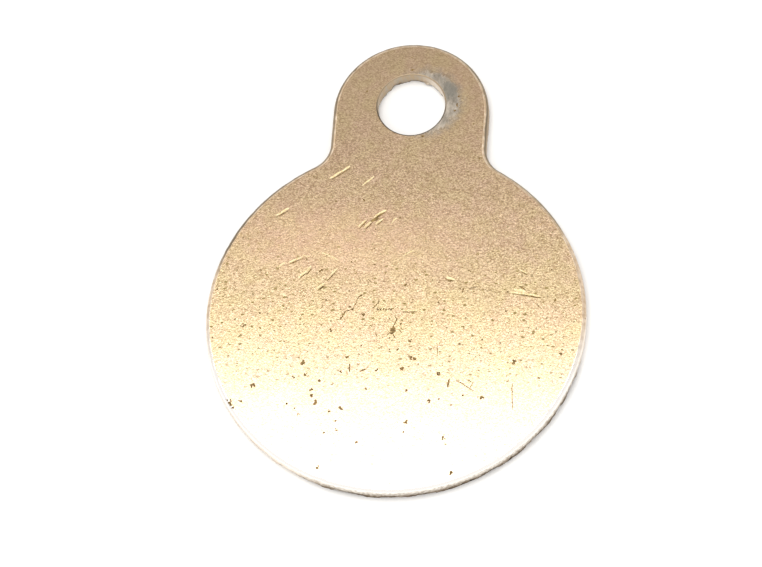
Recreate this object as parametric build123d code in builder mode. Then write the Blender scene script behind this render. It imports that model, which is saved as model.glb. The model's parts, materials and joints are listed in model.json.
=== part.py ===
"""Pet identity tag: a round plate with a ring tab, blanked and pierced from anodised aluminium sheet.

The tag lies on its back. The origin is the middle of the ring hole, at half the sheet's thickness, +Z points
up out of the face, and +Y points to the round top of the tab, so the disc hangs towards -Y. Lengths are in
millimetres.
"""

import os
from math import radians, tan

from build123d import *

# Driving dimensions
sheet_thickness = 1.0
disc_diameter = 25.4
tab_width = 10.6
hole_diameter = 4.6
hole_above_disc = 3.2
hole_to_tab_centre = 0.55
shoulder_radius = 2.0

# A press cuts the sheet in three zones, whose heights follow its thickness: the face is drawn down over
# the cut, a bright land is sheared straight, and the last of the sheet breaks away at a slant to the back
roll_share = 0.16
fracture_share = 0.38
fracture_angle = 7.0
roll_radius = roll_share * sheet_thickness
fracture_height = fracture_share * sheet_thickness
fracture_run = fracture_height * tan(radians(fracture_angle))

# The tab's round top is centred just below the hole, and its straight stem runs down into the disc
hole_to_disc_centre = disc_diameter / 2 + hole_above_disc
tab_centre = (0, -hole_to_tab_centre)
disc_centre = (0, -hole_to_disc_centre)
tab_stem_height = hole_to_disc_centre - hole_to_tab_centre

with BuildPart() as tag_plate:
    # Outline of the blank: disc and tab in one piece, with a hollow shoulder on each side of the tab
    with BuildSketch() as blank:
        with Locations(disc_centre):
            Circle(disc_diameter / 2)
        with Locations(tab_centre):
            Circle(tab_width / 2)
            Rectangle(tab_width, tab_stem_height, align=(Align.CENTER, Align.MAX))
        shoulders = blank.vertices().sort_by(Axis.Y)[:2]
        fillet(shoulders, shoulder_radius)
    extrude(amount=sheet_thickness / 2, both=True)

    # Ring hole, pierced in the same stroke
    Hole(hole_diameter / 2)

    # The face rolls over into every cut edge
    face = tag_plate.faces().sort_by(Axis.Z)[-1]
    fillet(face.edges(), roll_radius)

    # The break at the back leaves the outline narrower and the hole wider than the sheared land
    back = tag_plate.faces().sort_by(Axis.Z)[0]
    chamfer(back.edges(), fracture_run, fracture_height, reference=back)

tag_plate.part.label = "tag_plate"
os.makedirs("parts", exist_ok=True)
export_step(tag_plate.part, "parts/tag_plate.step")
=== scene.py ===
"""Dress of a gold anodised pet identity tag that has hung on a collar for years.

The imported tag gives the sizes, and one modelled plate takes the place of its only node. The plate has the
edge that a blanking press leaves, the gouges, scratches and pits that wear has left in its face, and a patch
beside the hole that the split ring has rubbed bare. It is modelled in millimetres and scaled to metres as its
last step.
"""

import json
import logging
import math
import random
from dataclasses import dataclass, field, replace
from enum import IntEnum
from functools import cached_property
from typing import Any, ClassVar

import bmesh
import bpy
from mathutils import Matrix, Quaternion, Vector, noise

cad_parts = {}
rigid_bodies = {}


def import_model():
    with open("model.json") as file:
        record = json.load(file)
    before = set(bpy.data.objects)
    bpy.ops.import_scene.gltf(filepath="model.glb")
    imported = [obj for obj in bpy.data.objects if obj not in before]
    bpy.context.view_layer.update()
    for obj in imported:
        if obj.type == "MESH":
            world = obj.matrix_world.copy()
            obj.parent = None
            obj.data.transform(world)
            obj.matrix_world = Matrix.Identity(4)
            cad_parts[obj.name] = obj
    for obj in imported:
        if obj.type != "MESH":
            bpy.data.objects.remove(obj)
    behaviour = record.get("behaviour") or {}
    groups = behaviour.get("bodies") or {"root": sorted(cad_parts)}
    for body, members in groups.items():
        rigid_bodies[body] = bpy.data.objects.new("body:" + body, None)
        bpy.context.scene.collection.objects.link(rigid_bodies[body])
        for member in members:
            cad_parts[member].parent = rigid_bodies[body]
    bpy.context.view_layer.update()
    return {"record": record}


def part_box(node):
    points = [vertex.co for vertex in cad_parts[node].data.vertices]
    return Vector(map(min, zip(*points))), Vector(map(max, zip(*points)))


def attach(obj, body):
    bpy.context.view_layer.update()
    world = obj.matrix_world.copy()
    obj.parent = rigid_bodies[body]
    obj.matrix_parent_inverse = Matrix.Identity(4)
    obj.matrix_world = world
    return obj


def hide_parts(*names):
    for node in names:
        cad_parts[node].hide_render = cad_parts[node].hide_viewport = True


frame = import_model()

log = logging.getLogger("pet_tag")

Mesh = bmesh.types.BMesh
Vert = bmesh.types.BMVert
Face = bmesh.types.BMFace
Socket = bpy.types.NodeSocket
Span = tuple[float, float]  # where something starts and where it ends
Place = tuple[float, float, float]
Pixel = tuple[float, float]  # across and down the photograph

MM = 0.001  # metres in a millimetre
PHOTO_WIDTH = 762
PHOTO_HEIGHT = 567
UP = (0.0, 0.0, 1.0)

TOUCH = 0.001  # millimetres within which two points are one
NEAR = 0.01  # share of the break's height within which a vertex lies on its upper edge
LEVEL = 0.9  # rise of the normal of a face that lies level
LEANING = 0.2  # length across of the normal of a vertex that lies on a wall

# Sockets of a Map Range node's two spans, and of the two plain values or the two colours of a Mix node
FROM, TO = (1, 2), (3, 4)
VALUES, COLOURS = (2, 3), (6, 7)

# Settings of a node that multiplies, of a Map Range that eases in and out, and of a Mix of colours
TIMES = {"operation": "MULTIPLY"}
SMOOTH = {"interpolation_type": "SMOOTHSTEP"}
IN_COLOUR = {"output": 2, "data_type": "RGBA"}


class Surface(IntEnum):
    """The finishes that the plate shows, numbered as its material slots."""

    FILM = 0
    WORN = 1
    SHEARED = 2
    BORE = 3
    SCORED = 4
    # Grime in scratches and pits, which also paints the shade beside the deeper gouges and in the dent
    GRIME = 5


def linear(code: str) -> tuple[float, float, float, float]:
    """Turn an sRGB colour into the linear one that a shader takes.

    Args:
        code: The colour as "#RRGGBB".

    Returns:
        Red, green, blue and an alpha of 1.
    """
    parts = [int(code[i:i + 2], 16) / 255 for i in (1, 3, 5)]
    red, green, blue = (p / 12.92 if p <= 0.04045 else ((p + 0.055) / 1.055) ** 2.4 for p in parts)
    return red, green, blue, 1.0


def scale_of(size: float) -> float:
    """Give the scale of a texture whose pattern repeats about every so many millimetres."""
    return 1.0 / (size * MM)


@dataclass
class Nodes:
    """The nodes of a material or of the room."""

    tree: bpy.types.NodeTree

    def __post_init__(self) -> None:
        """Start with an empty tree."""
        self.tree.nodes.clear()

    @cached_property
    def place(self) -> Socket:
        """Object coordinates, in metres."""
        return self.add("TexCoord", output="Object")

    def add(self, kind: str, inputs: dict[Any, Any] | None = None, output: int | str = 0,
            **settings: Any) -> Socket:
        """Add a node with its settings, values and links.

        Args:
            kind: The node's type, without its prefix.
            inputs: What each input or pair of inputs takes: an output socket, which is linked, a colour as
                "#RRGGBB", or a value.
            output: The output that the caller goes on with.
            settings: The node's own properties.

        Returns:
            The chosen output socket, or the first input of a node that has no output.
        """
        node = self.tree.nodes.new(f"ShaderNode{kind}")
        for name, value in settings.items():
            setattr(node, name, value)
        for sockets, value in (inputs or {}).items():
            pairs = zip(sockets, value) if isinstance(sockets, tuple) else [(sockets, value)]
            for socket, item in pairs:
                if isinstance(item, Socket):
                    self.tree.links.new(item, node.inputs[socket])
                else:
                    node.inputs[socket].default_value = linear(item) if isinstance(item, str) else item
        return node.outputs[output] if node.outputs else node.inputs[0]

    def fade(self, span: Span, axis: str = "Y", place: Socket | None = None) -> Socket:
        """Mask one side of the tag, with a soft edge.

        Args:
            span: Where the mask leaves 0 and where it reaches 1, in millimetres.
            axis: The axis that it rises along.
            place: Other coordinates than the object's own, in metres.

        Returns:
            The mask.
        """
        along = self.add("SeparateXYZ", {0: self.place if place is None else place}, axis)
        return self.add("MapRange", {0: along, FROM: [end * MM for end in span]}, **SMOOTH)


@dataclass(frozen=True)
class Finish:
    """A material with one shader, whose inputs each finish works out for itself."""

    name: ClassVar[str]
    shader: ClassVar[str] = "BsdfPrincipled"

    def inputs(self, nodes: Nodes) -> dict[str, Any]:
        """Work out what the shader takes.

        Args:
            nodes: The material's nodes.

        Returns:
            The shader's inputs by name.
        """
        raise NotImplementedError

    def build(self) -> bpy.types.Material:
        """Build the material.

        Returns:
            The finished material.
        """
        material = bpy.data.materials.new(self.name)
        material.use_nodes = True
        nodes = Nodes(material.node_tree)
        nodes.add("OutputMaterial", {"Surface": nodes.add(self.shader, self.inputs(nodes))})
        return material


@dataclass(frozen=True)
class Patch:
    """A patch of the face with a soft, ragged edge. Lengths are in millimetres from the middle of the hole.

    The patch is round, or so many times as wide as it is high.
    """

    x: float
    y: float
    radius: float
    feather: float
    ragged: float
    width: float = 1.0
    ragged_size: float = 0.55

    def mask(self, nodes: Nodes) -> Socket:
        """Mask the patch.

        Args:
            nodes: The material's nodes.

        Returns:
            The mask, 1 in the patch and 0 outside it.
        """
        place = nodes.add("VectorMath", {0: nodes.place, 1: (1.0 / self.width, 1.0, 1.0)}, **TIMES)
        middle = (self.x / self.width * MM, self.y * MM, 0.0)
        offset = nodes.add("VectorMath", {0: place, 1: middle}, operation="SUBTRACT")
        flat = nodes.add("VectorMath", {0: offset, 1: (1.0, 1.0, 0.0)}, **TIMES)
        distance = nodes.add("VectorMath", {0: flat}, "Value", operation="LENGTH")
        stray = nodes.add("TexNoise", {"Vector": place, "Scale": scale_of(self.ragged_size), "Detail": 4.0,
                          "Roughness": 0.7})
        edge = nodes.add("Math", {0: stray, 1: self.ragged * MM, 2: distance}, operation="MULTIPLY_ADD")
        rim = self.radius + self.ragged / 2
        return nodes.add("MapRange", {0: edge, FROM: ((rim + self.feather) * MM, (rim - self.feather) * MM)},
                         **SMOOTH)


@dataclass(frozen=True)
class SatinGoldAnodise(Finish):
    """Aluminium sheet etched satin in caustic, then anodised and dyed pale gold.

    The etch leaves fine craters, light and dark, so the metal shines broadly and looks grainy. The film is
    clear and colours what the metal reflects. Its rosy and yellow dyes give way towards the foot to a paler
    film, which is painted highlight, and a paler patch across the left of the disc is painted highlight too.
    The ring has rubbed the film off beside the hole and smeared dark metal there. Flecks, stains and specks
    of dirt have stuck to it, fewer at the foot. The real grain is finer than can be seen, so it is drawn
    about 0.1 mm wide.
    """

    name: ClassVar[str] = "satin_etched_gold_anodised_aluminium"
    grain_dark: str = "#A2896F"
    grain_light: str = "#EDD8C3"
    # The dyes are left off towards the foot, where the paler film is painted highlight
    rosy_dye: str = "#FFF8FF"
    yellow_dye: str = "#FFFFE7"
    # The thin film's paler colour, on a patch across the left of the disc, is painted highlight
    highlight_tint: str = "#EDCBB6"
    rosy_cloud: str = "#FFFAFC"
    yellow_cloud: str = "#FEFFF5"
    rubbed_dark: str = "#81786C"
    rubbed_light: str = "#C6BAAA"
    smear: str = "#7F7C73"
    dust: str = "#6F6355"
    fleck: str = "#98824C"
    stain: str = "#A58F68"
    speck: str = "#836A42"
    roughness: float = 0.2
    rubbed_roughness: float = 0.3
    dirt_roughness: float = 0.8
    rubbed: Patch = Patch(0.95, 0.2, radius=2.5, feather=0.5, ragged=1.3)
    smeared: Patch = Patch(2.65, 1.35, radius=0.7, feather=0.6, ragged=2.4)
    smear_strength: float = 0.75
    # The patch across the left of the disc where the film is painted paler, as highlight
    highlight_patch: Patch = Patch(-4.5, -10.4, radius=2.2, feather=1.8, ragged=0.8, width=3.2)
    highlight_strength: float = 0.3
    grain_size: float = 0.11
    grain_length: float = 1.5
    grain_spread: Span = (0.28, 0.72)
    crater_size: float = 0.13
    crater_height: float = 0.003
    crater_length: float = 1.4
    grain_starts: Span = (3.0, -7.0)
    smooth_grain: float = 0.55
    faded_grain: float = 0.5
    # Where each dye gives way to the paler film at the foot, which is painted highlight
    rosy_to_highlight: Span = (-8.0, -18.0)
    yellow_to_highlight: Span = (-13.0, -25.0)
    fleck_starts: Span = (-6.5, -14.0)
    darkening_fades: Span = (-16.0, -23.0)
    faded_darkening: float = 0.1
    wave_size: float = 6.0
    wave_height: float = 0.012
    mottle_size: float = 1.1
    mottle_spread: Span = (0.35, 0.65)
    cloud_size: float = 0.3
    cloud_drag: float = 0.45
    cloud_spread: Span = (0.36, 0.64)
    dust_spread: Span = (0.15, 0.4)
    fleck_spacing: float = 0.42
    fleck_radius: float = 0.09
    fleck_length: float = 1.6
    stain_spacing: float = 0.6
    stain_radius: float = 0.08
    speck_spacing: float = 1.5
    speck_radius: float = 0.095
    spot_stray: float = 0.12
    spot_chance: Span = (0.1, 1.0)
    spot_sizes: Span = (-0.5, 1.0)
    spot_edge: float = 0.25

    def inputs(self, nodes: Nodes) -> dict[str, Any]:
        """Lay the dirt over the film and the rubbed patch.

        Args:
            nodes: The material's nodes.

        Returns:
            The shader's inputs by name.
        """
        # The ring has rubbed the face alone, not the back
        height = nodes.add("SeparateXYZ", {0: nodes.place}, "Z")
        front = nodes.add("Math", {0: height, 1: 0.0}, operation="GREATER_THAN")
        rubbed = nodes.add("Math", {0: self.rubbed.mask(nodes), 1: front}, **TIMES)
        colours = self._film_colour(nodes), self._rubbed_colour(nodes, rubbed)
        colour = nodes.add("Mix", {0: rubbed, COLOURS: colours}, **IN_COLOUR)
        roughness = nodes.add("MapRange", {0: rubbed, TO: (self.roughness, self.rubbed_roughness)})
        film = nodes.add("Math", {0: 1.0, 1: rubbed}, operation="SUBTRACT")
        kept = nodes.add("MapRange", {0: nodes.fade(self.darkening_fades), TO: (film, self.faded_darkening)})
        band = nodes.add("Math", {0: nodes.fade(self.fleck_starts), 1: kept}, **TIMES)
        drawn = nodes.add("VectorMath", {0: nodes.place, 1: (1.0 / self.fleck_length, 1.0, 1.0)}, **TIMES)
        metal: Socket | float = 1.0
        for tint, spacing, radius, place, where in (
                (self.fleck, self.fleck_spacing, self.fleck_radius, drawn, band),
                (self.stain, self.stain_spacing, self.stain_radius, nodes.place, kept),
                (self.speck, self.speck_spacing, self.speck_radius, nodes.place, kept)):
            spots = nodes.add("Math", {0: self._spots(nodes, place, spacing, radius), 1: where}, **TIMES)
            colour = nodes.add("Mix", {0: spots, COLOURS: (colour, tint)}, **IN_COLOUR)
            roughness = nodes.add("Mix", {0: spots, VALUES: (roughness, self.dirt_roughness)})
            metal = nodes.add("Math", {0: metal, 1: spots}, operation="SUBTRACT", use_clamp=True)
        normal = self._relief(nodes)
        return {"Base Color": colour, "Metallic": metal, "Roughness": roughness, "Normal": normal}

    def _film_colour(self, nodes: Nodes) -> Socket:
        """Colour the film: grains, a paler band that is painted highlight, two dyes that give way to a
        painted highlight towards the foot, and faint clouds.

        Args:
            nodes: The material's nodes.

        Returns:
            The film's colour.
        """
        place = nodes.place
        lying = nodes.add("VectorMath", {0: place, 1: (1.0, self.grain_length, 1.0)}, **TIMES)
        grain = nodes.add("TexNoise", {"Vector": lying, "Scale": scale_of(self.grain_size), "Detail": 1.0})
        grain = nodes.add("MapRange", {0: grain, FROM: self.grain_spread})
        # A weaker grain stays nearer its middle tone
        grain = nodes.add("Mix", {0: self._grain_strength(nodes), VALUES: (0.5, grain)})
        colour = nodes.add("Mix", {0: grain, COLOURS: (self.grain_dark, self.grain_light)}, **IN_COLOUR)
        # A paler patch across the left of the disc: painted highlight
        thin = nodes.add("Math", {0: self.highlight_patch.mask(nodes), 1: self.highlight_strength}, **TIMES)
        colour = nodes.add("Mix", {0: thin, COLOURS: (colour, self.highlight_tint)}, **IN_COLOUR)
        # Towards the foot the dyes are left off, so the film pales there: painted highlight
        for dye, span in ((self.rosy_dye, self.rosy_to_highlight), (self.yellow_dye, self.yellow_to_highlight)):
            left = nodes.add("Math", {0: 1.0, 1: nodes.fade(span)}, operation="SUBTRACT")
            colour = nodes.add("Mix", {0: left, COLOURS: (colour, dye)}, **IN_COLOUR, blend_type="MULTIPLY")
        cloud = nodes.add("TexNoise", {"Vector": place, "Scale": scale_of(self.mottle_size), "Detail": 3.0})
        cloud = nodes.add("MapRange", {0: cloud, FROM: self.mottle_spread})
        tint = nodes.add("Mix", {0: cloud, COLOURS: (self.rosy_cloud, self.yellow_cloud)}, **IN_COLOUR)
        return nodes.add("Mix", {0: 1.0, COLOURS: (colour, tint)}, **IN_COLOUR, blend_type="MULTIPLY")

    def _grain_strength(self, nodes: Nodes) -> Socket:
        """Say how strong the grain is: whole on the upper disc, smooth on the tab and faded at the foot.

        Args:
            nodes: The material's nodes.

        Returns:
            The strength, from 0 to 1.
        """
        upper = nodes.add("MapRange", {0: nodes.fade(self.grain_starts), TO: (self.smooth_grain, 1.0)})
        lower = nodes.add("MapRange", {0: nodes.fade(self.yellow_to_highlight), TO: (1.0, self.faded_grain)})
        return nodes.add("Math", {0: upper, 1: lower}, **TIMES)

    def _rubbed_colour(self, nodes: Nodes, rubbed: Socket) -> Socket:
        """Colour the rubbed patch: dragged grey clouds, a smear of metal, and dust along the rim.

        Args:
            nodes: The material's nodes.
            rubbed: The patch's mask.

        Returns:
            The patch's colour.
        """
        dragged = nodes.add("VectorMath", {0: nodes.place, 1: (1.0, self.cloud_drag, 1.0)}, **TIMES)
        clouds = nodes.add("TexNoise", {"Vector": dragged, "Scale": scale_of(self.cloud_size), "Detail": 6.0,
                           "Roughness": 0.8})
        clouds = nodes.add("MapRange", {0: clouds, FROM: self.cloud_spread})
        colour = nodes.add("Mix", {0: clouds, COLOURS: (self.rubbed_dark, self.rubbed_light)}, **IN_COLOUR)
        smeared = nodes.add("Math", {0: self.smeared.mask(nodes), 1: self.smear_strength}, **TIMES)
        colour = nodes.add("Mix", {0: smeared, COLOURS: (colour, self.smear)}, **IN_COLOUR)
        # The mask folded at its middle is highest along the patch's rim
        rim = nodes.add("Math", {0: rubbed, 1: 0.5}, operation="PINGPONG")
        dusty = nodes.add("Math", {0: rim, 1: clouds}, **TIMES)
        dusty = nodes.add("MapRange", {0: dusty, FROM: self.dust_spread})
        return nodes.add("Mix", {0: dusty, COLOURS: (colour, self.dust)}, **IN_COLOUR)

    def _spots(self, nodes: Nodes, place: Socket, spacing: float, radius: float) -> Socket:
        """Scatter small spots over the faces, of many sizes and some of none.

        Args:
            nodes: The material's nodes.
            place: The coordinates that the spots are drawn on, in metres.
            spacing: How far apart the spots are, in millimetres.
            radius: The radius of the largest, in millimetres.

        Returns:
            The mask, 1 on a spot.
        """
        stray = nodes.add("TexNoise", {"Vector": place, "Scale": scale_of(self.spot_stray)}, "Color")
        moved = nodes.add("VectorMath", {0: stray, 1: (self.spot_stray * MM,) * 3, 2: place},
                          operation="MULTIPLY_ADD")
        away = nodes.add("TexVoronoi", {"Vector": moved, "Scale": scale_of(spacing)}, "Distance",
                         voronoi_dimensions="2D")
        chance = nodes.add("SeparateColor", {0: away.node.outputs["Color"]})
        reach = radius / spacing
        sizes = [size * reach for size in self.spot_sizes]
        limit = nodes.add("MapRange", {0: chance, FROM: self.spot_chance, TO: sizes})
        inside = nodes.add("Math", {0: limit, 1: away}, operation="SUBTRACT")
        return nodes.add("MapRange", {0: inside, FROM: (0.0, self.spot_edge * reach)})

    def _relief(self, nodes: Nodes) -> Socket:
        """Shape the sheet's slow waves and its etched craters.

        Args:
            nodes: The material's nodes.

        Returns:
            The bumped normal.
        """
        place = nodes.place
        wave = nodes.add("TexNoise", {"Vector": place, "Scale": scale_of(self.wave_size), "Detail": 1.0})
        normal = nodes.add("Bump", {"Height": wave, "Distance": self.wave_height * MM})
        drawn = nodes.add("VectorMath", {0: place, 1: (self.crater_length, 1.0, 1.0)}, **TIMES)
        craters = nodes.add("TexNoise", {"Vector": drawn, "Scale": scale_of(self.crater_size), "Detail": 1.0})
        height = nodes.add("Math", {0: self._grain_strength(nodes), 1: self.crater_height * MM}, **TIMES)
        return nodes.add("Bump", {"Height": craters, "Distance": height, "Normal": normal})


@dataclass(frozen=True)
class WornEdge(Finish):
    """The roll over the face's edge, where the gold film has worn thin.

    Along the upper edges a scuffed, paler line runs round the face and is darkened in patches by painted
    shade as it turns down, which starts higher on the left than on the right. The lower edges, which hang
    against what the tag knocks on, are rubbed bright and bare. The lean of the line where the painted shade
    fades is in degrees.
    """

    name: ClassVar[str] = "worn_gold_anodised_edge"
    face_height: float
    film: str = "#D4B998"
    thin: str = "#EFD9BF"
    # The dirt colour is painted shade, laid on the upper edges as they turn down
    dirt: str = "#857662"
    bare: str = "#FFFAF4"
    thin_roughness: float = 0.4
    bare_roughness: float = 0.2
    patch_size: float = 0.4
    patch_spread: Span = (0.4, 0.6)
    shade_patch_size: float = 4.0
    # The patches, lean, slope, depths and fading of the painted shade on the upper edges
    shade_patch_spread: Span = (0.35, 0.55)
    shade_patch_strength: Span = (0.8, 1.0)
    shade_lean: float = -8.0
    shade_slope: float = 0.0018
    shade_depth: Span = (0.02, 0.04)
    darkening_fades: Span = (-9.5, -12.0)
    faded_darkening: float = 0.15
    bare_starts: Span = (-15.0, -21.0)
    scuff_size: float = 0.1
    scuff_height: float = 0.002

    def inputs(self, nodes: Nodes) -> dict[str, Any]:
        """Wear the film thin, darken its upper edges in patches with painted shade and rub its lower edges
        bare.

        Args:
            nodes: The material's nodes.

        Returns:
            The shader's inputs by name.
        """
        place = nodes.place
        patches = nodes.add("TexNoise", {"Vector": place, "Scale": scale_of(self.patch_size), "Detail": 3.0})
        gone = nodes.add("MapRange", {0: patches, FROM: self.patch_spread})
        colour = nodes.add("Mix", {0: gone, COLOURS: (self.film, self.thin)}, **IN_COLOUR)
        # The upper edges darken in patches as they turn down, less towards the foot: painted shade
        axes = nodes.add("SeparateXYZ", {0: place}).node.outputs
        height = nodes.add("Math", {0: axes["X"], 1: self.shade_slope, 2: axes["Z"]}, operation="MULTIPLY_ADD")
        depths = [(self.face_height - depth) * MM for depth in self.shade_depth]
        turned = nodes.add("MapRange", {0: height, FROM: depths})
        shade_patches = nodes.add("TexNoise", {"Vector": place, "Scale": scale_of(self.shade_patch_size), "Detail": 2.0})
        patchy_shade = nodes.add("MapRange", {0: shade_patches, FROM: self.shade_patch_spread, TO: self.shade_patch_strength})
        leaning = nodes.add("VectorRotate", {"Vector": place, "Angle": math.radians(self.shade_lean)},
                            rotation_type="Z_AXIS")
        unshaded = nodes.fade(self.darkening_fades, place=leaning)
        patchy_shade = nodes.add("MapRange", {0: unshaded, TO: (patchy_shade, self.faded_darkening)})
        shaded = nodes.add("Math", {0: turned, 1: patchy_shade}, **TIMES)
        colour = nodes.add("Mix", {0: shaded, COLOURS: (colour, self.dirt)}, **IN_COLOUR)
        lower = nodes.fade(self.bare_starts)
        colour = nodes.add("Mix", {0: lower, COLOURS: (colour, self.bare)}, **IN_COLOUR)
        roughness = nodes.add("MapRange", {0: lower, TO: (self.thin_roughness, self.bare_roughness)})
        scuffs = nodes.add("TexNoise", {"Vector": place, "Scale": scale_of(self.scuff_size), "Detail": 2.0})
        normal = nodes.add("Bump", {"Height": scuffs, "Distance": self.scuff_height * MM})
        return {"Base Color": colour, "Metallic": 1.0, "Roughness": roughness, "Normal": normal}


@dataclass(frozen=True)
class ShearedAluminium(Finish):
    """Bare aluminium where the press sheared the sheet and then tore it.

    The upper land is scraped bright by the die and shows fine upright lines. Below it the metal broke away,
    so it is duller and pitted. Along the foot of the disc and up its right side the torn metal is darkened by
    painted shade, most towards the back, and a tan haze lies on the upper edges, nearest the collar. The torn
    and foot spans are heights above the break's upper edge and above the back.
    """

    name: ClassVar[str] = "sheared_bare_aluminium"
    thickness: float
    break_height: float
    land: str = "#FFF9F0"
    torn: str = "#E4D6C6"
    # The soiled and foot colours are painted shade, on the torn metal and darkest at the back
    soiled: str = "#95846F"
    foot: str = "#665647"
    haze: str = "#AE9A80"
    land_roughness: float = 0.5
    torn_roughness: float = 0.6
    line_spacing: float = 0.09
    line_stretch: float = 0.06
    line_height: float = 0.006
    tear_size: float = 0.22
    tear_height: float = 0.03
    stray: float = 1.0
    torn_span: Span = (0.5, -0.15)
    # Where the painted shade darkens the foot, and how far it reaches across and along the disc
    shaded_foot_span: Span = (0.24, -0.1)
    haze_starts: Span = (-18.0, -11.0)
    shade_across: Span = (-6.5, -3.0)
    shade_along: Span = (-17.5, -20.5)

    def inputs(self, nodes: Nodes) -> dict[str, Any]:
        """Tear the lower part of the edge, and darken its foot with painted shade.

        Args:
            nodes: The material's nodes.

        Returns:
            The shader's inputs by name.
        """
        place = nodes.place
        height = nodes.add("SeparateXYZ", {0: place}, "Z")
        drawn = nodes.add("VectorMath", {0: place, 1: (1.0, 1.0, self.line_stretch)}, **TIMES)
        lines = nodes.add("TexNoise", {"Vector": drawn, "Scale": scale_of(self.line_spacing), "Detail": 2.0})
        tears = nodes.add("TexNoise", {"Vector": place, "Scale": scale_of(self.tear_size), "Detail": 3.0})
        strayed = nodes.add("Math", {0: tears, 1: self.stray * MM, 2: height}, operation="MULTIPLY_ADD")
        # The tears lift the height by half the stray on average
        back = (self.stray - self.thickness) / 2
        breaks = back + self.break_height
        torn = nodes.add("MapRange", {0: strayed, FROM: [(breaks + end) * MM for end in self.torn_span]})
        # Along the foot and up the right side the torn metal is darkened, most at the back: painted shade
        across, along = nodes.fade(self.shade_across, "X"), nodes.fade(self.shade_along)
        shaded = nodes.add("Math", {0: across, 1: along}, **TIMES)
        under = nodes.add("Mix", {0: shaded, COLOURS: (self.torn, self.soiled)}, **IN_COLOUR)
        colour = nodes.add("Mix", {0: torn, COLOURS: (self.land, under)}, **IN_COLOUR)
        low = nodes.add("MapRange", {0: strayed, FROM: [(back + end) * MM for end in self.shaded_foot_span]})
        low = nodes.add("Math", {0: low, 1: shaded}, **TIMES)
        colour = nodes.add("Mix", {0: low, COLOURS: (colour, self.foot)}, **IN_COLOUR)
        upper = nodes.fade(self.haze_starts)
        colour = nodes.add("Mix", {0: upper, COLOURS: (colour, self.haze)}, **IN_COLOUR)
        roughness = nodes.add("MapRange", {0: torn, TO: (self.land_roughness, self.torn_roughness)})
        relief = nodes.add("MapRange", {0: torn, TO: (0.0, self.tear_height * MM)})
        normal = nodes.add("Bump", {"Height": lines, "Distance": self.line_height * MM})
        normal = nodes.add("Bump", {"Height": tears, "Distance": relief, "Normal": normal})
        return {"Base Color": colour, "Metallic": 1.0, "Roughness": roughness, "Normal": normal}


@dataclass(frozen=True)
class RubbedBore(Finish):
    """The pierced wall of the ring hole, anodised like the face and rubbed dull by the ring.

    It is a greyed gold with upright marks from the punch, worn pale on the side of the rubbed patch, with
    painted shade darkening its lower edge. The rim is dull, and painted shade darkens the side of it towards
    the disc.
    """

    name: ClassVar[str] = "rubbed_gold_anodised_bore"
    thickness: float
    film: str = "#BCA689"
    grey: str = "#B7AB9A"
    worn: str = "#E3D7C8"
    rim: str = "#A8947A"
    # The dark colour of the painted shade at the wall's foot and on the rim's side towards the disc
    grime: str = "#5E5449"
    rim_depth: Span = (0.06, 0.03)
    roughness: float = 0.5
    line_spacing: float = 0.16
    line_stretch: float = 0.2
    line_spread: Span = (0.38, 0.62)
    line_height: float = 0.005
    worn_side: Span = (0.3, 1.6)
    # Where the painted shade lies on the rim, and how it wanders and how high it reaches on the wall
    shaded_rim_side: Span = (0.8, -0.8)
    bore_shade_stray: float = 0.2
    bore_shade_height: float = 0.15

    def inputs(self, nodes: Nodes) -> dict[str, Any]:
        """Streak the wall, wear one side of it pale, and darken its foot and its rim with painted shade.

        Args:
            nodes: The material's nodes.

        Returns:
            The shader's inputs by name.
        """
        height = nodes.add("SeparateXYZ", {0: nodes.place}, "Z")
        drawn = nodes.add("VectorMath", {0: nodes.place, 1: (1.0, 1.0, self.line_stretch)}, **TIMES)
        lines = nodes.add("TexNoise", {"Vector": drawn, "Scale": scale_of(self.line_spacing), "Detail": 3.0})
        spread = nodes.add("MapRange", {0: lines, FROM: self.line_spread})
        colour = nodes.add("Mix", {0: spread, COLOURS: (self.film, self.grey)}, **IN_COLOUR)
        worn = nodes.fade(self.worn_side, "X")
        colour = nodes.add("Mix", {0: worn, COLOURS: (colour, self.worn)}, **IN_COLOUR)
        # Painted shade darkens the wall towards its foot, and the rim on the side towards the disc
        strayed = nodes.add("Math", {0: lines, 1: self.bore_shade_stray * MM, 2: height}, operation="MULTIPLY_ADD")
        foot = (self.bore_shade_stray - self.thickness) / 2
        low = nodes.add("MapRange", {0: strayed, FROM: ((foot + self.bore_shade_height) * MM, foot * MM)})
        colour = nodes.add("Mix", {0: low, COLOURS: (colour, self.grime)}, **IN_COLOUR)
        rim = nodes.add("Mix", {0: nodes.fade(self.shaded_rim_side), COLOURS: (self.rim, self.grime)}, **IN_COLOUR)
        depths = [(self.thickness / 2 - depth) * MM for depth in self.rim_depth]
        high = nodes.add("MapRange", {0: height, FROM: depths})
        colour = nodes.add("Mix", {0: high, COLOURS: (colour, rim)}, **IN_COLOUR)
        normal = nodes.add("Bump", {"Height": lines, "Distance": self.line_height * MM})
        return {"Base Color": colour, "Metallic": 1.0, "Roughness": self.roughness, "Normal": normal}


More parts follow.
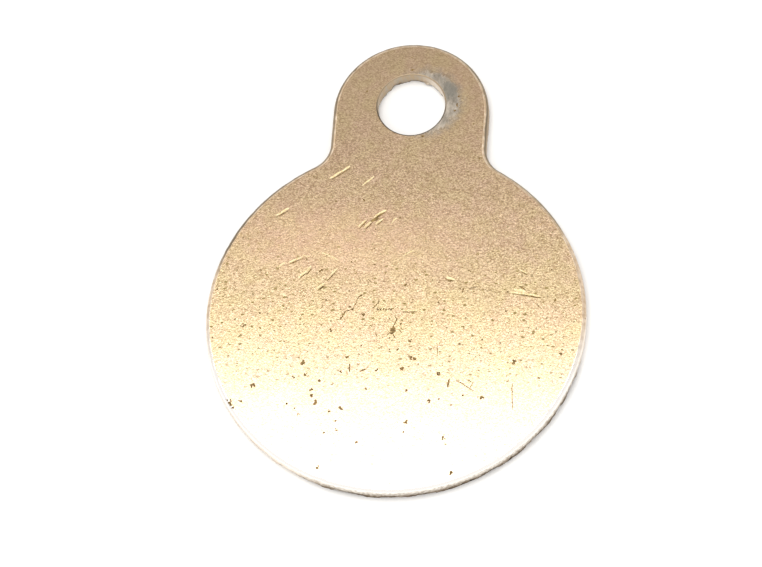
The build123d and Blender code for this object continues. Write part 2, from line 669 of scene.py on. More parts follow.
@dataclass(frozen=True)
class TornScore(Finish):
    """Gold film and metal torn up in a gouge: a rough, pale, straw-coloured burr that scatters the light."""

    name: ClassVar[str] = "torn_gold_anodised_aluminium"
    pale: str = "#F7E7C0"
    dull: str = "#DDC894"
    roughness: float = 0.62
    drag_size: float = 0.12
    drag_spread: Span = (0.4, 0.65)
    drag_height: float = 0.006

    def inputs(self, nodes: Nodes) -> dict[str, Any]:
        """Drag dull streaks through the burr.

        Args:
            nodes: The material's nodes.

        Returns:
            The shader's inputs by name.
        """
        drag = nodes.add("TexNoise", {"Vector": nodes.place, "Scale": scale_of(self.drag_size),
                         "Detail": 2.0})
        spread = nodes.add("MapRange", {0: drag, FROM: self.drag_spread})
        colour = nodes.add("Mix", {0: spread, COLOURS: (self.pale, self.dull)}, **IN_COLOUR)
        normal = nodes.add("Bump", {"Height": drag, "Distance": self.drag_height * MM})
        return {"Base Color": colour, "Metallic": 1.0, "Roughness": self.roughness, "Normal": normal}


@dataclass(frozen=True)
class PackedGrimeAndShade(Finish):
    """Collar dirt and tarnish packed into scratches and pits: a dull brown crust, dark here, thin there."""

    # This finish is also the painted shade beside the deeper gouges, in the dent and over the flap
    name: ClassVar[str] = "packed_grime_and_painted_shade"
    thin: str = "#A88B54"
    crust: str = "#8C6F3E"
    crumb: str = "#664E2C"
    roughness: float = 0.7
    crumb_size: float = 0.11
    crust_spread: Span = (0.36, 0.5)
    crumb_spread: Span = (0.5, 0.62)
    crumb_height: float = 0.02

    def inputs(self, nodes: Nodes) -> dict[str, Any]:
        """Thicken the thin dirt to a crust, and the crust to dark crumbs.

        Args:
            nodes: The material's nodes.

        Returns:
            The shader's inputs by name.
        """
        crumbs = nodes.add("TexNoise", {"Vector": nodes.place, "Scale": scale_of(self.crumb_size),
                           "Detail": 2.0})
        thick = nodes.add("MapRange", {0: crumbs, FROM: self.crust_spread})
        colour = nodes.add("Mix", {0: thick, COLOURS: (self.thin, self.crust)}, **IN_COLOUR)
        dark = nodes.add("MapRange", {0: crumbs, FROM: self.crumb_spread})
        colour = nodes.add("Mix", {0: dark, COLOURS: (colour, self.crumb)}, **IN_COLOUR)
        normal = nodes.add("Bump", {"Height": crumbs, "Distance": self.crumb_height * MM})
        return {"Base Color": colour, "Roughness": self.roughness, "Normal": normal}


@dataclass(frozen=True)
class MattPaper(Finish):
    """White paper with no gloss, which scatters the light evenly and takes a soft shadow."""

    name: ClassVar[str] = "matt_white_paper"
    shader: ClassVar[str] = "BsdfDiffuse"
    colour: str = "#FDFDFC"

    def inputs(self, nodes: Nodes) -> dict[str, Any]:
        """Give the paper its colour."""
        return {"Color": self.colour}


@dataclass(frozen=True)
class PhotoCamera:
    """The camera that took the photograph, aimed at a point of the tag's face.

    Lengths are in millimetres and angles in degrees.
    """

    aim: Place = (-1.113, -13.545, 0.5)
    azimuth: float = 14.716
    elevation: float = 63.749
    roll: float = -11.838
    distance: float = 276.43
    lens: float = 195.74
    sensor: float = 36.0
    nearest: float = 10.0

    def direction(self) -> Vector:
        """Work out which way the camera lies.

        Returns:
            The unit direction from the aim to the camera.
        """
        azimuth, elevation = math.radians(self.azimuth), math.radians(self.elevation)
        flat = math.cos(elevation)
        return Vector((math.sin(azimuth) * flat, -math.cos(azimuth) * flat, math.sin(elevation)))

    def turn(self) -> Quaternion:
        """Give the camera's turn, with its roll about the line of sight."""
        level = (-self.direction()).to_track_quat("-Z", "Y")
        return level @ Quaternion(UP, math.radians(self.roll))

    def place(self) -> Vector:
        """Give the camera's place in millimetres."""
        return Vector(self.aim) + self.direction() * self.distance

    def on_face(self, pixel: Pixel) -> Vector:
        """Find the point of the tag's face that a pixel shows.

        Args:
            pixel: The point of the photograph.

        Returns:
            The point on the face, in millimetres.
        """
        scale = self.sensor / self.lens / PHOTO_WIDTH
        across = (pixel[0] - PHOTO_WIDTH / 2) * scale
        up = (PHOTO_HEIGHT / 2 - pixel[1]) * scale
        ray = self.turn() @ Vector((across, up, -1.0))
        start = self.place()
        return start + ray * ((self.aim[2] - start.z) / ray.z)

    def build(self) -> bpy.types.Object:
        """Put the camera in the scene.

        Returns:
            The camera object.
        """
        data = bpy.data.cameras.new("photo_camera")
        data.sensor_width = self.sensor
        data.lens = self.lens
        data.clip_start = self.nearest * MM
        camera = bpy.data.objects.new("photo_camera", data)
        camera.location = self.place() * MM
        camera.rotation_mode = "QUATERNION"
        camera.rotation_quaternion = self.turn()
        bpy.context.scene.collection.objects.link(camera)
        bpy.context.scene.camera = camera
        return camera


@dataclass(frozen=True)
class Mark:
    """A gouge, scratch or pit that wear has cut into the face, where the photograph shows it.

    A mark with two or more points is cut along them in bites, and a mark with one is a pit of a few bites.
    Width, depth and bite are in millimetres. The other sizes of a bite are shares of the mark's width, apart
    from its twist in radians and its overlap, which is a share of its length.
    """

    name: str
    path: tuple[Pixel, ...]
    width: float = 0.18
    depth: float = 0.022
    surface: Surface = Surface.SCORED
    sides: int = 10
    valley: float = 0.12
    bite: float = 0.4
    bite_width: Span = (0.6, 1.15)
    bite_sway: float = 0.2
    bite_twist: float = 0.12
    bite_overlap: float = 1.3
    pit_bites: int = 4
    pit_width: Span = (0.45, 0.85)
    pit_stray: float = 0.55
    pit_length: float = 1.4
    # The shift in pixels, and the width and depth as shares, of the painted shade along a gouge's lower right
    # side
    soil_shift: Pixel = (0.9, 1.4)
    shadow_width: float = 0.62
    shadow_depth: float = 2.0

    def tools(self, camera: PhotoCamera) -> list[Mesh]:
        """Shape the tools that cut this mark, which bite unevenly along it.

        Args:
            camera: The camera that turns pixels into places on the face.

        Returns:
            A closed mesh for each bite.
        """
        chance = random.Random(self.name)
        points = [camera.on_face(pixel) for pixel in self.path]
        tools = []
        for start, end in zip(points, points[1:]):
            run = end - start
            bites = max(1, round(run.length / self.bite))
            across = run.cross(Vector(UP)).normalized()
            for bite in range(bites):
                width = self.width * chance.uniform(*self.bite_width)
                sway = across * self.width * chance.uniform(-self.bite_sway, self.bite_sway)
                middle = start + run * ((bite + 0.5) / bites) + sway
                turn = math.atan2(run.y, run.x) + chance.uniform(-self.bite_twist, self.bite_twist)
                tools.append(self._bite(middle, turn, run.length / bites * self.bite_overlap + width, width))
        for _ in range(self.pit_bites if len(points) == 1 else 0):
            width = self.width * chance.uniform(*self.pit_width)
            aside, along = (chance.uniform(-self.pit_stray, self.pit_stray) for _ in range(2))
            middle = points[0] + Vector((aside, along, 0.0)) * self.width
            tools.append(self._bite(middle, chance.uniform(0.0, math.pi), width * self.pit_length, width))
        return tools

    def _bite(self, middle: Vector, turn: float, length: float, width: float) -> Mesh:
        """Shape one boat-shaped tool, half of it below the face and half above.

        Args:
            middle: Its middle, on the face.
            turn: The angle of its length to X, in radians.
            length: Its length in millimetres.
            width: Its width in millimetres.

        Returns:
            The tool's closed mesh.
        """
        size = Matrix.Diagonal((length, width, self.depth, 1.0))
        mesh = bmesh.new()
        bmesh.ops.create_cone(mesh, cap_ends=True, segments=self.sides, radius1=self.valley,
                              radius2=1.0 - self.valley, depth=2.0,
                              matrix=Matrix.Translation(middle) @ Matrix.Rotation(turn, 4, "Z") @ size)
        return mesh

    def soiled_side(self) -> "Mark":
        """Describe the painted shade along a gouge's lower right side.

        Returns:
            A narrower, deeper mark beside this one.
        """
        shift_across, shift_down = self.soil_shift
        path = tuple((across + shift_across, down + shift_down) for across, down in self.path)
        return replace(self, name=f"{self.name}, soiled side", path=path, width=self.width * self.shadow_width,
                       depth=self.depth * self.shadow_depth, surface=Surface.GRIME)


def scratch(name: str, *path: Pixel, width: float = 0.075) -> Mark:
    """Describe a thin scratch that has filled with dirt.

    Args:
        name: Where the scratch is.
        path: The points along it.
        width: Its width in millimetres.

    Returns:
        The mark.
    """
    return Mark(name, path, width=width, depth=0.02, surface=Surface.GRIME)


def pit(name: str, across: float, down: float, width: float = 0.16, depth: float = 0.04) -> Mark:
    """Describe a pit that has filled with dirt.

    Args:
        name: Where the pit is.
        across: Its place across the photograph, in pixels.
        down: Its place down the photograph, in pixels.
        width: Its width in millimetres.
        depth: Its depth below the flat face, in millimetres.

    Returns:
        The mark.
    """
    return Mark(name, ((across, down),), width, depth, Surface.GRIME)


# Gouges, torn pale
GOUGES = (
    Mark("long gouge below the tab", ((331, 178), (349, 167)), width=0.13, depth=0.018),
    Mark("nick right of it", ((363, 185), (373, 177)), width=0.1, depth=0.013),
    Mark("gouge at the left rim", ((277, 215), (288, 209)), width=0.13),
    Mark("upper dent", ((375, 216.5), (384.5, 210.3)), width=0.2, depth=0.03),
    Mark("lower lip of the dent", ((376.5, 223.5), (382, 219)), width=0.13),
    Mark("tail of the dent", ((365, 227), (371, 222)), width=0.14),
    Mark("scratch left of the dent", ((359.5, 226), (365, 220.5)), width=0.14),
    Mark("hook right of the dent", ((392, 223), (394, 220), (396, 219)), width=0.09, depth=0.013),
    Mark("left gouge, upper", ((290, 262), (295, 259.5)), width=0.17),
    Mark("left gouge, tail of the upper", ((296, 259.2), (301.5, 257.8)), width=0.08, depth=0.016),
    Mark("left gouge, middle", ((299.5, 276), (306, 272), (310.5, 267.5)), width=0.17, depth=0.03),
    Mark("left gouge, lower", ((318, 288.5), (322.5, 284.5)), width=0.18, depth=0.03),
    Mark("left gouge, thin", ((327, 279), (336.5, 269)), width=0.1, depth=0.018),
    Mark("pale drag in the middle", ((402, 310.5), (416, 310.5)), width=0.13, depth=0.016),
    Mark("pale chip right of the middle", ((448, 278), (453, 279.5)), width=0.19),
    Mark("right gouge", ((512, 292.5), (524, 293.8), (539, 296.5)), width=0.19, depth=0.03),
    Mark("lip over the right gouge", ((519, 286), (522, 285)), width=0.13),
    Mark("pale tick near the middle", ((423, 293), (424.5, 287)), width=0.09, depth=0.012),
    Mark("faint drag over the left gouges", ((322, 252.5), (337, 259)), width=0.09, depth=0.010),
    Mark("dash beside the left gouge", ((303.5, 256), (309, 256.5)), width=0.09, depth=0.010),
    Mark("chip left of the left gouge", ((278.5, 266.5), (284, 262.5)), width=0.09, depth=0.012),
    Mark("chip right of the left gouges", ((404, 255.5), (412.5, 251)), width=0.09, depth=0.012),
    Mark("chip over the right gouge", ((521, 270.5), (526, 273)), width=0.13, depth=0.016),
)

# Only the gouges deeper than this, in millimetres, have painted shade along their lower right side
PAINTED_SHADE_DEPTH = 0.015
PAINTED_SHADE_SIDES = tuple(gouge.soiled_side() for gouge in GOUGES if gouge.depth > PAINTED_SHADE_DEPTH)

# Marks of one finish: a torn flap, and scratches thin enough to show as a dark line alone
SCRATCHES = (
    Mark("flap over the right gouge", ((517, 289.5), (523.5, 290.5)), width=0.34, depth=0.016),
    # The two blots in the dent are painted shade, cut and filled like the scratches
    scratch("dent, left blot", (371.5, 220.8), (377, 218.2), width=0.20),
    scratch("dent, right blot", (377.5, 217), (382.8, 212.6), width=0.17),
    scratch("crooked scratch, foot", (337, 319.8), (341, 318.5), (344.8, 311.6)),
    scratch("crooked scratch, elbow", (344.8, 311.6), (352.4, 309), (354.3, 305.8)),
    scratch("crooked scratch, head", (354.3, 305.8), (358.8, 297), (361, 295.4)),
    scratch("short scratch, foot", (373.2, 307.7), (377.3, 304)),
    scratch("short scratch, head", (378.2, 303), (379, 300.5), width=0.13),
    scratch("blot, upper tail", (394, 325), (396.7, 319.2), (395.2, 316.5)),
    scratch("blot, left tail", (390, 332), (386.5, 335.6), width=0.09),
    scratch("blot, lower tail", (393, 334), (395, 337.5)),
    scratch("tick above the middle", (368.4, 279), (371.6, 282.2)),
    scratch("tick left of the blot", (375.4, 332), (376.7, 336)),
    scratch("tick right of the blot", (399.6, 330), (402, 333), width=0.09),
    scratch("edge under the chip", (446, 278.6), (449.5, 281.2), (453, 280.8)),
    scratch("upright tick at the right", (463.3, 288), (462.9, 292), width=0.11),
    scratch("thin lines at the right, lower", (470, 288.3), (477, 286.6), width=0.06),
    scratch("thin lines at the right, upper", (472.7, 285.2), (477.5, 282.8), width=0.06),
    scratch("thin line to the right gouge", (482, 289.7), (491.5, 290), width=0.06),
    scratch("thin line beside the gouge", (495, 292.5), (500.5, 292.6), width=0.06),
    scratch("curve below the right gouge", (535, 303), (541.5, 308.5), width=0.06),
    scratch("long upright scratch", (512, 384), (512.5, 409), width=0.06),
    scratch("upright tick, lower", (449, 380), (448.3, 386), width=0.13),
    scratch("squiggle beside it, foot", (456.5, 380.8), (463, 384), (473.5, 391), width=0.06),
    scratch("squiggle beside it, loop", (467, 379.6), (472.5, 383), (470, 388), width=0.06),
    scratch("upright line over it", (437, 344), (437.5, 355), width=0.05),
    scratch("upright tick, left", (349.2, 365), (350, 371), width=0.1),
    scratch("dash in the row of pits", (361, 371), (365.5, 369.6), width=0.12),
    scratch("shadow over the flap", (519, 286.6), (524.6, 289), width=0.17),
    scratch("dash over the chips", (467.5, 270), (472, 271.6), width=0.07),
)

# Pits and stains, the large blot first
PITS = (
    pit("blot, upper half", 392.8, 328.6, 0.25),
    pit("blot, lower half", 391.8, 331.6, 0.29),
    pit("hook above the blot", 362.8, 314.4, 0.17),
    pit("crooked scratch, foot knot", 341.4, 317.6, 0.11),
    pit("crooked scratch, elbow knot", 352.2, 309, 0.13),
    pit("crooked scratch, head knot", 360.8, 295.6, 0.12),
    pit("pit right of the blot", 409.8, 340.9, 0.18),
    pit("pit over the blot", 400.6, 324.3, 0.13),
    pit("pit left of the blot", 330.7, 330, 0.17),
    pit("pit in the upper middle", 405.4, 285.4, 0.14),
    pit("pit between the left gouges", 321.3, 270, 0.17),
    pit("pit below the tab", 364, 200, 0.13),
    pit("pit at the right shoulder", 480, 158, 0.12),
    pit("pit over the hole", 413, 70, 0.13),
    pit("pit at the left rim, upper", 244, 325, 0.18),
    pit("pit at the right rim", 554.8, 300, 0.14),
    pit("row of pits, left", 303.5, 362.6, 0.23),
    pit("row of pits, second", 305.5, 374.5, 0.17),
    pit("row of pits, third", 376, 369.5, 0.16),
    pit("row of pits, fourth", 412.5, 358.5, 0.26),
    pit("row of pits, fifth", 401.7, 368.2, 0.2),
    pit("row of pits, sixth", 438, 373.8, 0.2),
    pit("row of pits, right", 514.5, 362, 0.21),
    pit("pit at the right rim, lower", 560, 354.5, 0.19),
    pit("lower row, left", 253, 385.5, 0.21),
    pit("lower row, second", 310.0, 395.2, 0.27),
    pit("lower row, crumb over the second", 311.2, 390.6, 0.19),
    pit("lower row, knot below the second", 314.5, 402.3, 0.23),
    pit("lower row, third", 340, 408.5, 0.19),
    pit("lower row, speck over the fourth", 406.9, 390, 0.16),
    pit("lower row, fourth", 405, 422, 0.21),
    pit("lower row, fifth", 429, 401, 0.17),
    pit("lower row, right", 482, 398, 0.17),
    pit("faint speck, far left", 287, 403.6, 0.12),
    pit("faint speck beside it", 294.2, 408.5, 0.1),
    pit("faint speck over the second", 319.6, 380.8, 0.14),
    pit("faint speck right of it", 331.9, 383.6, 0.12),
    pit("faint speck left of it", 293.2, 376.9, 0.13),
    pit("faint speck by the upright tick", 340.6, 371.8, 0.12),
    pit("faint speck over the upright tick", 347, 357.2, 0.13),
    pit("faint speck below the third", 335.5, 420.8, 0.11),
    pit("faint speck, left", 298.3, 414.4, 0.11),
    pit("faint speck under the third", 329.6, 410.5, 0.15),
    pit("faint speck, low left", 323.2, 432.8, 0.14),
    pit("faint speck, low middle", 336, 429.7, 0.13),
    pit("faint speck under the fourth", 404, 431.5, 0.12),
    pit("faint speck under the row of pits", 365.8, 388.7, 0.11),
    pit("faint speck right of the fifth", 450.8, 405, 0.1),
    pit("faint speck, low right", 445.7, 444.2, 0.1),
    pit("faint speck under the squiggle", 462.8, 395.3, 0.1),
    pit("faint speck left of the squiggle", 438.8, 399, 0.1),
    pit("faint speck by the upright scratch", 507.3, 380.8, 0.11),
    pit("faint speck at the right", 538.5, 378.5, 0.12),
    pit("faint speck over the row of pits, right", 397.6, 349.5, 0.13),
    pit("faint speck over the row of pits, left", 361, 345.6, 0.11),
    pit("foot, left", 317, 467, 0.22),
    pit("foot, middle", 356, 442, 0.14),
    pit("foot, right of the middle", 444, 438, 0.18),
    pit("foot, right", 452, 473, 0.18),
    pit("rim nick at the lower left", 229, 404, 0.24, 0.06),
    pit("crumb above the rim nick", 226, 399.5, 0.15, 0.06),
    pit("crumb beside the rim nick", 240, 401, 0.18),
    pit("crumb below the rim nick", 232, 408, 0.14, 0.06),
    *(pit(f"crumb round the rim nick, {crumb}", 225.5 + 1.7 * crumb, 402.5 - 2.0 * (crumb % 2), 0.13, 0.05)
      for crumb in range(4)),
    pit("nick in the right rim", 585.5, 318, 0.22, 0.15),
    pit("rim of the rubbed patch, upper", 459, 96, 0.13),
    pit("rim of the rubbed patch, middle", 457, 105, 0.15),
    pit("rim of the rubbed patch, lower", 454.5, 110.5, 0.12),
    pit("below the hole", 423, 137, 0.15),
    pit("nick in the rim of the hole", 438.5, 120.5, 0.22, 0.08),
    *(pit(f"grit dragged over the middle, {grain}", 378 + 2.7 * grain, 309 + 0.5 * (grain % 2), 0.11)
      for grain in range(6)),
)


@dataclass
class TagPlate:
    """The tag itself: a disc with a pierced tab, blanked from one sheet.

    Lengths are in millimetres and angles in degrees. The fractal that tears the break has a smoothness, a
    step to finer waves and a count of waves.
    """

    camera: PhotoCamera
    thickness: float
    disc_radius: float
    disc_bottom: float
    tab_top: float
    hole_radius: float
    tab_radius: float = 5.3
    shoulder_radius: float = 2.0
    roll_radius: float = 0.28
    roll_steps: int = 16
    roll_worn: float = 0.35
    rim_radius: float = 0.1
    break_height: float = 0.38
    break_angle: float = 7.0
    break_rows: int = 3
    segment: float = 0.12
    fewest_steps: int = 4
    tear_size: float = 0.7
    tear_depth: float = 0.14
    tear_fractal: tuple[float, float, int] = (0.9, 2.0, 3)
    dent_size: float = 0.6
    dent_depth: float = 0.04
    dent_least: float = 0.15
    overshoot: float = 0.2
    crease_angle: float = 35.0
    shortest_edge: float = 0.0002
    marks: tuple[Mark, ...] = GOUGES + PAINTED_SHADE_SIDES + SCRATCHES + PITS
    materials: list[bpy.types.Material] = field(default_factory=list)

    @classmethod
    def from_frame(cls, camera: PhotoCamera) -> "TagPlate":
        """Take the tag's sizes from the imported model.

        Args:
            camera: The camera that places the marks.

        Returns:
            The plate, not yet built.
        """
        low, high = (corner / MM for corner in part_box("tag_plate"))
        hole = next(mount for mount in frame["record"]["mounts"] if mount["name"] == "ring_hole")
        return cls(camera, high.z - low.z, (high.x - low.x) / 2, low.y, high.y, hole["dims"]["r_mm"])

    @property
    def half(self) -> float:
        """Half the sheet's thickness, which is the height of its face."""
        return self.thickness / 2

    @property
    def land_bottom(self) -> float:
        """The height where the sheared land ends and the break begins."""
        return self.break_height - self.half

    @property
    def break_run(self) -> float:
        """How far the break draws back from the land."""
        return self.break_height * math.tan(math.radians(self.break_angle))

    def build(self) -> bpy.types.Object:
        """Model the plate, pierce it and cut its marks.

        Returns:
            The plate's object, in metres.
        """
        mesh = bmesh.new()
        self._lay_blank(mesh)
        self._roll_and_break(mesh)
        self._tear_break(mesh)
        self._dent_roll(mesh)
        self.materials = [finish.build() for finish in (
            SatinGoldAnodise(), WornEdge(self.half), ShearedAluminium(self.thickness, self.break_height),
            RubbedBore(self.thickness), TornScore(), PackedGrimeAndShade())]
        plate = self._as_object("worn_tag_plate", mesh)
        self._cut(plate)
        self._finish_mesh(plate)
        return plate

    def dress(self, plate: bpy.types.Object) -> None:
        """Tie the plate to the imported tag.

        Args:
            plate: The plate's object.
        """
        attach(plate, "root")
        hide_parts("tag_plate")

    def _arc(self, mesh: Mesh, start: Vert, centre: Place, angle: float, axis: Place = UP) -> Vert:
        """Draw an arc from a vertex.

        Args:
            mesh: The mesh being drawn.
            start: The arc's first vertex.
            centre: The arc's centre.
            angle: The angle that it sweeps, in radians.
            axis: The axis that it sweeps about.

        Returns:
            The arc's last vertex.
        """
        radius = (start.co - Vector(centre)).length
        steps = max(self.fewest_steps, round(abs(angle) * radius / self.segment))
        swept = bmesh.ops.spin(mesh, geom=[start], cent=centre, axis=axis, angle=angle, steps=steps)
        return next(item for item in swept["geom_last"] if isinstance(item, Vert))

    def _line(self, mesh: Mesh, start: Vert, step: Place, cuts: int = 0) -> Vert:
        """Draw a straight line from a vertex.

        Args:
            mesh: The mesh being drawn.
            start: The line's first vertex.
            step: Where its last vertex lies, from the first.
            cuts: How many vertices divide it.

        Returns:
            The line's last vertex.
        """
        end = start
        for _ in range(cuts + 1):
            drawn = bmesh.ops.extrude_vert_indiv(mesh, verts=[end])
            bmesh.ops.translate(mesh, verts=drawn["verts"], vec=Vector(step) / (cuts + 1))
            end = drawn["verts"][0]
        return end

    def _lay_blank(self, mesh: Mesh) -> None:
        """Draw the outline and fill it.

        Args:
            mesh: The mesh being drawn.
        """
        tab_y = self.tab_top - self.tab_radius
        disc_y = self.disc_bottom + self.disc_radius
        shoulder_x = self.tab_radius + self.shoulder_radius
        shoulder_rise = math.sqrt((self.disc_radius + self.shoulder_radius) ** 2 - shoulder_x ** 2)
        shoulder_y = disc_y + shoulder_rise
        lean = math.atan2(shoulder_rise, shoulder_x)
        stem_cuts = round((tab_y - shoulder_y) / self.segment)

        first = bmesh.ops.create_vert(mesh, co=(self.tab_radius, tab_y, 0.0))["vert"][0]
        tab_end = self._arc(mesh, first, (0.0, tab_y, 0.0), math.pi)
        stem_end = self._line(mesh, tab_end, (0.0, shoulder_y - tab_y, 0.0), stem_cuts)
        left = self._arc(mesh, stem_end, (-shoulder_x, shoulder_y, 0.0), -lean)
        right = self._arc(mesh, left, (0.0, disc_y, 0.0), math.pi + 2 * lean)
        last = self._arc(mesh, right, (shoulder_x, shoulder_y, 0.0), -lean)
        closing = bmesh.ops.contextual_create(mesh, geom=[last, first])
        bmesh.ops.subdivide_edges(mesh, edges=closing["edges"], cuts=stem_cuts)
        bmesh.ops.triangle_fill(mesh, use_beauty=True, edges=mesh.edges[:], normal=UP)
        bmesh.ops.recalc_face_normals(mesh, faces=mesh.faces[:])
        if mesh.faces[:][0].normal.z < 0:
            bmesh.ops.reverse_faces(mesh, faces=mesh.faces[:])

    def _roll_and_break(self, mesh: Mesh) -> None:
        """Give the blank its thickness, its rolled face edge and its slanted break at the back.

        Args:
            mesh: The flat, filled blank.
        """
        land_top = self.half - self.roll_radius
        bmesh.ops.translate(mesh, verts=mesh.verts[:], vec=(0.0, 0.0, land_top))
        bmesh.ops.solidify(mesh, geom=mesh.faces[:], thickness=land_top - self.land_bottom)
        mesh.normal_update()
        front, back = ([face for face in mesh.faces if face.normal.z * side > LEVEL] for side in (1, -1))
        for step in range(self.roll_steps):
            low, high = (math.pi / 2 * turn / self.roll_steps for turn in (step, step + 1))
            self._step_in(mesh, front, self.roll_radius * (math.cos(low) - math.cos(high)),
                          self.roll_radius * (math.sin(high) - math.sin(low)))
        for _ in range(self.break_rows):
            self._step_in(mesh, back, self.break_run / self.break_rows, -self.break_height / self.break_rows)
        mesh.normal_update()
        flat = set(front) | set(back)
        for face in mesh.faces:
            if face not in flat:
                face.material_index = Surface.WORN if face.normal.z > self.roll_worn else Surface.SHEARED

    def _step_in(self, mesh: Mesh, faces: list[Face], inward: float, rise: float) -> None:
        """Add one strip round a flat side of the plate.

        Args:
            mesh: The plate's mesh.
            faces: The faces of the flat side.
            inward: How far its outline draws in.
            rise: How far it moves up.
        """
        bmesh.ops.inset_region(mesh, faces=faces, use_boundary=True, use_even_offset=True, thickness=inward)
        moved = list({vert for face in faces for vert in face.verts})
        bmesh.ops.translate(mesh, verts=moved, vec=(0.0, 0.0, rise))

    def _tear_break(self, mesh: Mesh) -> None:
        """Make a break uneven: its start wanders up and down, and its walls are torn.

        Args:
            mesh: The mesh of the plate, or of the punch that pierces it.
        """
        for vert in mesh.verts:
            below = (self.land_bottom - vert.co.z) / self.break_height
            wander = noise.fractal(vert.co / self.tear_size, *self.tear_fractal)
            outward = Vector((vert.normal.x, vert.normal.y, 0.0))
            if abs(below) < NEAR:
                vert.co.z += wander * self.tear_depth
            elif below > 0.0 and outward.length > LEANING:
                vert.co += outward.normalized() * min(wander * self.tear_depth, self.break_run * below)

    def _dent_roll(self, mesh: Mesh) -> None:
        """Knock shallow dents into the rolled edge.

        Args:
            mesh: The plate's mesh.
        """
        for vert in mesh.verts:
            if self.half - self.roll_radius < vert.co.z < self.half - TOUCH:
                knock = max(0.0, noise.noise(vert.co / self.dent_size) - self.dent_least)
                vert.co -= vert.normal * knock * self.dent_depth

    def _as_object(self, name: str, mesh: Mesh) -> bpy.types.Object:
        """Turn a bmesh into an object with the plate's finishes.

        Args:
            name: The object's name.
            mesh: The bmesh, which is freed.

        Returns:
            The object.
        """
        data = bpy.data.meshes.new(name)
        mesh.to_mesh(data)
        mesh.free()
        for material in self.materials:
            data.materials.append(material)
        made = bpy.data.objects.new(name, data)
        bpy.context.scene.collection.objects.link(made)
        return made

    def _turn_punch(self) -> Mesh:
        """Turn the punch that pierces the ring hole, with the rim and the break that it leaves.

        Returns:
            The punch's closed mesh.
        """
        mesh = bmesh.new()
        foot = (self.hole_radius + self.break_run, 0.0, -self.half - self.overshoot)
        rim_z = self.half - self.rim_radius
        vert = bmesh.ops.create_vert(mesh, co=foot)["vert"][0]
        vert = self._line(mesh, vert, (0.0, 0.0, self.overshoot))
        vert = self._line(mesh, vert, (-self.break_run, 0.0, self.break_height), self.break_rows - 1)
        vert = self._line(mesh, vert, (0.0, 0.0, rim_z - self.land_bottom))
        rim = (self.hole_radius + self.rim_radius, 0.0, rim_z)
        vert = self._arc(mesh, vert, rim, math.pi / 2, (0.0, 1.0, 0.0))
        self._line(mesh, vert, (0.0, 0.0, self.overshoot))
        around = round(2 * math.pi * self.hole_radius / self.segment)
        bmesh.ops.spin(mesh, geom=mesh.verts[:] + mesh.edges[:], axis=UP, angle=2 * math.pi, steps=around,
                       use_merge=True)
        bmesh.ops.remove_doubles(mesh, verts=mesh.verts[:], dist=TOUCH)
        bmesh.ops.holes_fill(mesh, edges=mesh.edges[:])
        bmesh.ops.recalc_face_normals(mesh, faces=mesh.faces[:])
        mesh.normal_update()
        self._tear_break(mesh)
        return mesh

    def _cut(self, plate: bpy.types.Object) -> None:
        """Pierce the ring hole, and cut every gouge, scratch and pit out of the face.

        Each bite is a tool of its own, because tools that overlap in one mesh would leave the plate open.

        Args:
            plate: The plate's object.
        """
        groups = []
        for surface in (Surface.BORE, Surface.SCORED, Surface.GRIME):
            shapes = [self._turn_punch()] if surface is Surface.BORE else []
            for mark in self.marks:
                if mark.surface is surface:
                    shapes += mark.tools(self.camera)
            group = bpy.data.collections.new(f"cutting_{surface.name.lower()}")
            for shape in shapes:
                for face in shape.faces:
                    face.material_index = surface
                group.objects.link(self._as_object(group.name, shape))
            cut = plate.modifiers.new(group.name, "BOOLEAN")
            cut.operation = "DIFFERENCE"
            cut.solver = "MANIFOLD"
            cut.operand_type = "COLLECTION"
            cut.collection = group
            groups.append(group)
        shaped = plate.evaluated_get(bpy.context.evaluated_depsgraph_get())
        cut_mesh = bpy.data.meshes.new_from_object(shaped)
        plate.modifiers.clear()
        plate.data = cut_mesh
        for group in groups:
            for tool in group.objects[:]:
                bpy.data.objects.remove(tool)
            bpy.data.collections.remove(group)

    def _finish_mesh(self, plate: bpy.types.Object) -> None:
        """Close up the slivers that the cuts leave, shade the plate and bring it to metres.

        Args:
            plate: The plate's object.
        """
        mesh = bmesh.new()
        mesh.from_mesh(plate.data)
        bmesh.ops.dissolve_degenerate(mesh, edges=mesh.edges[:], dist=self.shortest_edge)
        mesh.normal_update()
        for face in mesh.faces:
            face.smooth = face.material_index != Surface.FILM
        for edge in mesh.edges:
            kinds = {face.material_index for face in edge.link_faces}
            cut = len(kinds) > 1 and not kinds <= {Surface.FILM, Surface.WORN, Surface.SHEARED}
            creased = edge.calc_face_angle(0.0) > math.radians(self.crease_angle)
            edge.smooth = not (cut or creased)
        open_edges = sum(len(edge.link_faces) != 2 for edge in mesh.edges)
        log.info("plate: %d faces, %d open edges", len(mesh.faces), open_edges)
        bmesh.ops.scale(mesh, verts=mesh.verts[:], vec=(MM, MM, MM))
        mesh.to_mesh(plate.data)
        mesh.free()


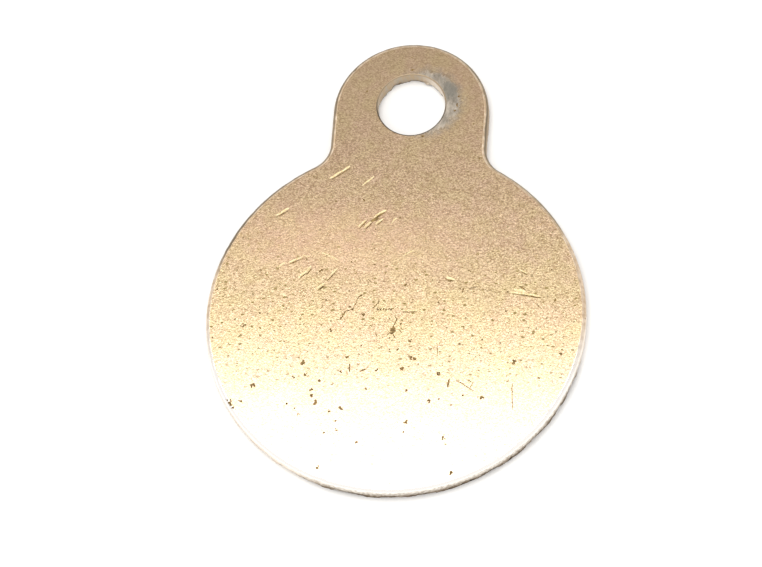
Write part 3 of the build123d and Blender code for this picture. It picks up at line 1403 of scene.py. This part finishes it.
@dataclass
class Studio:
    """The floor, the lamp and the room that the tag is seen in. Lengths are in millimetres.

    The lamp's power is in watts. The room's levels say how bright its parts shine, and its spans are
    directions, from -1 to 1 along an axis.
    """

    floor_height: float
    floor_radius: float = 2000.0
    floor_sides: int = 64
    key_place: Place = (-25.0, 14.0, 200.0)
    key_size: float = 100.0
    key_power: float = 0.16
    room: float = 0.785
    cove: float = 0.27
    side_wall: float = 0.95
    near_wall: float = 1.0
    cove_beyond: Span = (-0.1, 0.3)
    cove_above: Span = (0.5, 0.66)
    ceiling_above: Span = (0.72, 0.95)
    wall_aside: Span = (0.28, 0.55)
    wall_behind: Span = (0.12, -0.1)

    def build(self) -> None:
        """Put the floor, the lamp and the room in the scene."""
        self._lay_floor()
        self._hang_key()
        self._paint_room()
        bpy.context.scene.view_settings.view_transform = "Standard"

    def _lay_floor(self) -> None:
        """Lay a round, matt white floor under the tag."""
        mesh = bmesh.new()
        bmesh.ops.create_circle(mesh, cap_ends=True, radius=self.floor_radius * MM, segments=self.floor_sides)
        bmesh.ops.translate(mesh, verts=mesh.verts[:], vec=(0.0, 0.0, self.floor_height * MM))
        data = bpy.data.meshes.new("floor")
        mesh.to_mesh(data)
        mesh.free()
        data.materials.append(MattPaper().build())
        floor = bpy.data.objects.new("floor", data)
        bpy.context.scene.collection.objects.link(floor)

    def _hang_key(self) -> None:
        """Hang the soft box over the tag, where the lower half of the disc mirrors its far edge."""
        data = bpy.data.lights.new("soft_box", "AREA")
        data.shape = "SQUARE"
        data.size = self.key_size * MM
        data.energy = self.key_power
        lamp = bpy.data.objects.new("soft_box", data)
        lamp.location = Vector(self.key_place) * MM
        bpy.context.scene.collection.objects.link(lamp)

    def _paint_room(self) -> None:
        """Light the room from a pale ceiling and walls, brighter at the sides and behind, with a dim cove."""
        world = bpy.data.worlds.new("room")
        bpy.context.scene.world = world
        world.use_nodes = True
        nodes = Nodes(world.node_tree)
        axes = nodes.add("SeparateXYZ", {0: nodes.add("TexCoord", output="Generated")}).node.outputs
        beyond = nodes.add("MapRange", {0: axes["Y"], FROM: self.cove_beyond}, **SMOOTH)
        above = nodes.add("MapRange", {0: axes["Z"], FROM: self.cove_above}, **SMOOTH)
        dim = nodes.add("Math", {0: beyond, 1: above}, **TIMES)
        glow = nodes.add("MapRange", {0: dim, TO: (self.room, self.cove)})
        aside = nodes.add("Math", {0: axes["X"]}, operation="ABSOLUTE")
        for way, span, level in ((axes["Z"], self.ceiling_above, self.room),
                                 (aside, self.wall_aside, self.side_wall),
                                 (axes["Y"], self.wall_behind, self.near_wall)):
            part = nodes.add("MapRange", {0: way, FROM: span}, **SMOOTH)
            glow = nodes.add("Mix", {0: part, VALUES: (glow, level)})
        shader = nodes.add("Background", {"Color": (1.0, 1.0, 1.0, 1.0), "Strength": glow})
        nodes.add("OutputWorld", {"Surface": shader})


def main() -> None:
    """Build the camera, the tag and the studio, and log what stands for the tag."""
    logging.basicConfig(level=logging.INFO, format="%(name)s: %(message)s")
    camera = PhotoCamera()
    camera.build()
    tag = TagPlate.from_frame(camera)
    plate = tag.build()
    tag.dress(plate)
    log.info("%s stands for tag_plate", plate.name)
    Studio(floor_height=-tag.half).build()
    log.info("studio built")


if __name__ == "__main__":
    main()
